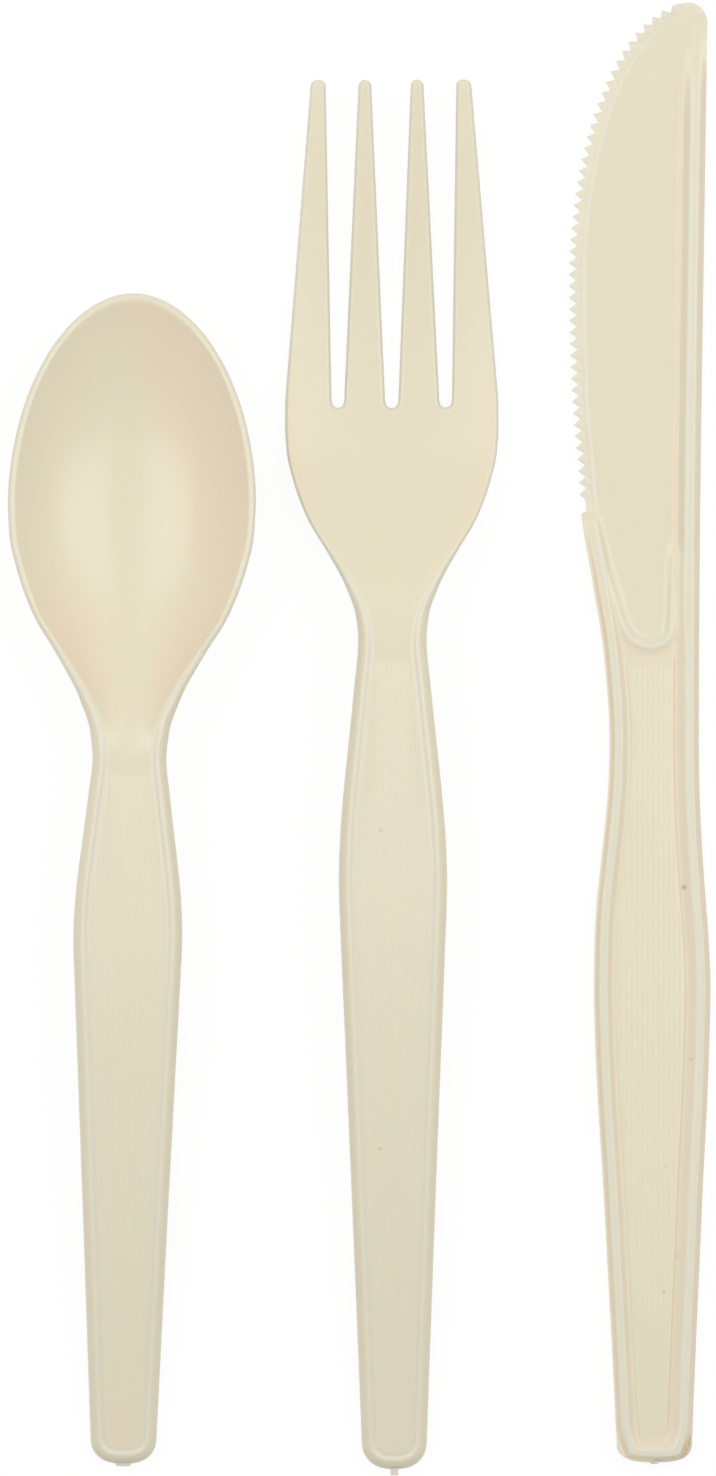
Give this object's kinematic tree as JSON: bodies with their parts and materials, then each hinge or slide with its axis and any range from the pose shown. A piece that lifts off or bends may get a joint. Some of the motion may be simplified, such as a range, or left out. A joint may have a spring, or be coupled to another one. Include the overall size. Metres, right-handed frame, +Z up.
{
  "type": "cutlery kit",
  "caption": "Set of disposable cream plastic cutlery laid side by side: spoon, fork and serrated knife, each moulded in one piece with a finely ribbed handle.",
  "frame": {"origin": "centre of the set's footprint, at the height of the surface that the pieces lie on", "axes": "+Y from the handles' ends towards the bowl, the tines and the knife's tip; +X from the spoon to the knife; +Z up"},
  "size_m": [0.0914, 0.1916, 0.0099],
  "materials": {
    "cream_plastic": "satin"
  },
  "bodies": {
    "root": {"spoon": "cream_plastic", "fork": "cream_plastic", "knife": "cream_plastic"}
  },
  "joints": []
}
